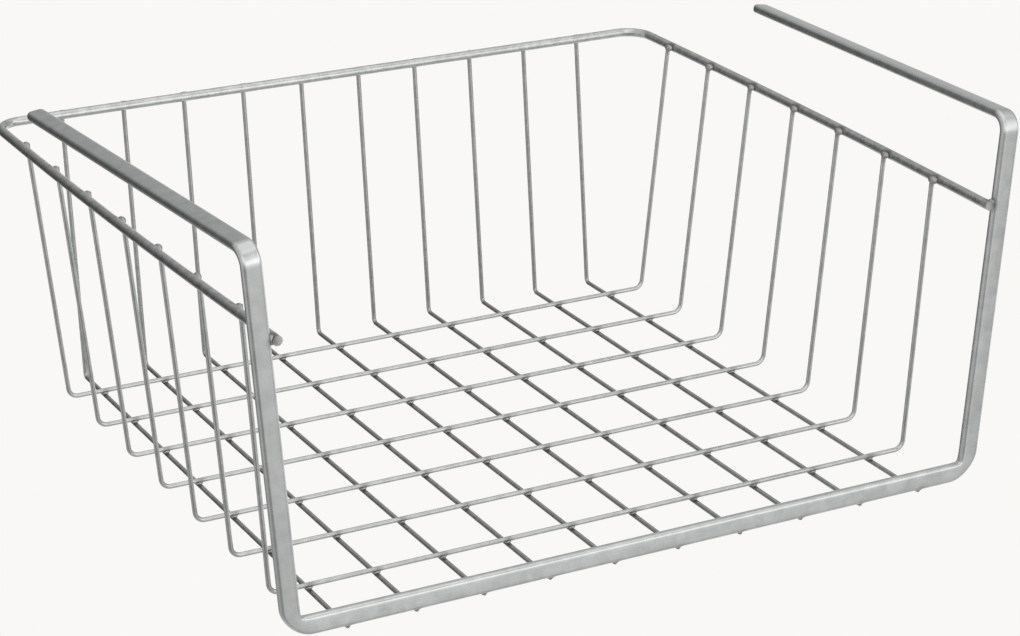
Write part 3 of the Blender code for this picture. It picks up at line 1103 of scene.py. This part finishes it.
dome = bmesh.new()
bmesh.ops.create_icosphere(dome, subdivisions=BACKDROP_SUBDIVISIONS, radius=BACKDROP_RADIUS)
bmesh.ops.reverse_faces(dome, faces=dome.faces)
dome_mesh = bpy.data.meshes.new("backdrop")
dome.to_mesh(dome_mesh)
dome.free()
add_stage("backdrop", dome_mesh)
print("stage:", [ground_mesh.name, dome_mesh.name])

# %% Tones of the surroundings
# Each pair is a height, from 0 straight down to 1 straight up, and the brightness there.
FRONT_TONES = ((0.0, 0.60), (0.12, 0.50), (0.22, 0.56), (0.31, 0.83), (0.46, 1.20), (0.54, 1.80),
               (0.62, 1.65), (0.73, 0.92), (0.90, 0.70), (1.0, 0.50))
NEAR_TONES = ((0.0, 0.60), (0.20, 0.30), (0.30, 0.30), (0.42, 0.47), (0.58, 1.00), (0.90, 0.90),
              (1.0, 0.60))
LEFT_TONES = ((0.0, 0.60), (0.20, 0.45), (0.32, 0.66), (0.50, 0.65), (0.70, 0.60), (0.90, 0.75),
              (1.0, 0.60))
RIGHT_TONES = ((0.0, 0.60), (0.22, 0.40), (0.30, 0.35), (0.45, 0.50), (0.58, 1.15), (0.68, 1.75),
               (0.78, 1.45), (0.90, 0.95), (1.0, 0.60))
BACK_LEFT_TONES = ((0.0, 0.80), (0.18, 0.65), (0.25, 0.30), (0.32, 0.07), (0.50, 0.09),
                   (0.66, 0.20), (0.78, 0.46), (0.90, 0.75), (1.0, 0.60))
BACK_RIGHT_TONES = ((0.0, 0.80), (0.20, 0.80), (0.32, 1.00), (0.48, 0.80), (0.60, 0.50),
                    (0.72, 0.47), (0.80, 0.60), (0.90, 0.85), (1.0, 0.60))
print("brightest tone in front:", max(tone for height, tone in FRONT_TONES))

# %% World that the metal mirrors
# Between the two numbers of a pair, along x or y of a direction, one view fades into the next.
NEAR_TO_LEFT = (-0.60, -0.10)
LEFT_TO_FRONT = (-0.20, 0.28)
FRONT_TO_RIGHT = (0.35, 0.90)
BACK_LEFT_TO_RIGHT = (-0.25, 0.45)
FRONT_TO_BACK = (0.10, 0.45)
BACK_SLANT = 0.7  # how much x counts beside y there, so that the back reaches round to the right

world = bpy.data.worlds.new("studio")
bpy.context.scene.world = world
world.use_nodes = True
world_nodes = world.node_tree
world_nodes.nodes.clear()
direction = add_node(world_nodes, "ShaderNodeTexCoord")
axes = add_node(world_nodes, "ShaderNodeSeparateXYZ", {0: direction.outputs["Generated"]})
height = add_node(
    world_nodes, "ShaderNodeMapRange", {"Value": axes.outputs["Z"], "From Min": -1.0})


def tone_ramp(tones):
    """A ramp of greys over the height of a direction, from straight down to straight up."""
    ramp = add_node(world_nodes, "ShaderNodeValToRGB", {"Fac": height.outputs[0]})
    ramp.color_ramp.interpolation = "EASE"
    stops = ramp.color_ramp.elements
    while len(stops) < len(tones):
        stops.new(0.5)  # each is moved to its own place below
    for stop, (share, tone) in zip(stops, tones):
        stop.position = share
        stop.color = (tone, tone, tone, 1)
    return ramp.outputs["Color"]


def crossfade(value, limits, low_side, high_side):
    """Fades from one side's greys to the other's where this value is between the limits."""
    share = add_node(
        world_nodes, "ShaderNodeMapRange",
        {"Value": value, "From Min": limits[0], "From Max": limits[1]},
        interpolation_type="SMOOTHSTEP")
    faded = add_node(
        world_nodes, "ShaderNodeMix",
        {"Factor": share.outputs[0], MIX_A: low_side, MIX_B: high_side}, data_type="RGBA")
    return faded.outputs[MIXED]


near_to_left = crossfade(
    axes.outputs["Y"], NEAR_TO_LEFT, tone_ramp(NEAR_TONES), tone_ramp(LEFT_TONES))
left_to_front = crossfade(
    axes.outputs["X"], LEFT_TO_FRONT, near_to_left, tone_ramp(FRONT_TONES))
front_half = crossfade(
    axes.outputs["X"], FRONT_TO_RIGHT, left_to_front, tone_ramp(RIGHT_TONES))
back_half = crossfade(
    axes.outputs["X"], BACK_LEFT_TO_RIGHT, tone_ramp(BACK_LEFT_TONES),
    tone_ramp(BACK_RIGHT_TONES))
backwards = add_node(
    world_nodes, "ShaderNodeMath",
    {0: axes.outputs["X"], 1: BACK_SLANT, 2: axes.outputs["Y"]}, operation="MULTIPLY_ADD")
surroundings = crossfade(backwards.outputs[0], FRONT_TO_BACK, front_half, back_half)
sky = add_node(world_nodes, "ShaderNodeBackground", {"Color": surroundings})
add_node(world_nodes, "ShaderNodeOutputWorld", {"Surface": sky.outputs[0]})
print("nodes in the world:", len(world_nodes.nodes))

# %% Soft lights


def soft_light(name, place, size, brightness):
    """A square studio light that faces the middle of the basket, as bright as its glow says."""
    light = bpy.data.lights.new(name, "AREA")
    light.shape = "SQUARE"
    light.size = size
    light.energy = brightness * math.pi * size * size
    lamp = add_object(name, light)
    lamp.location = place
    middle = (cad_box[0] + cad_box[1]) / 2
    lamp.rotation_euler = (middle - lamp.location).to_track_quat("-Z", "Y").to_euler()


soft_light("ceiling_light", place=Vector((0.2, -0.3, 2.4)), size=2.2, brightness=0.5)
soft_light("front_light", place=Vector((-0.9, -2.6, 1.7)), size=1.6, brightness=0.35)

bpy.context.scene.view_settings.view_transform = "Standard"

# %% [markdown]
# The last look at the sizes.
#
# A scene doesn't change the dimensions of the object. So each piece's box is compared with the
# box of the CAD node that it stands for.

# %% Sizes, and the end
for piece in pieces:
    for node in piece.get("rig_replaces", []):
        low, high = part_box(node)
        corners = [Vector(corner) for corner in piece.bound_box]
        off = max(
            max(abs(min(c[axis] for c in corners) - low[axis]),
                abs(max(c[axis] for c in corners) - high[axis]))
            for axis in range(3)
        )
        print(f"{piece.name}: box within {1000 * off:.2f} mm of {node}")
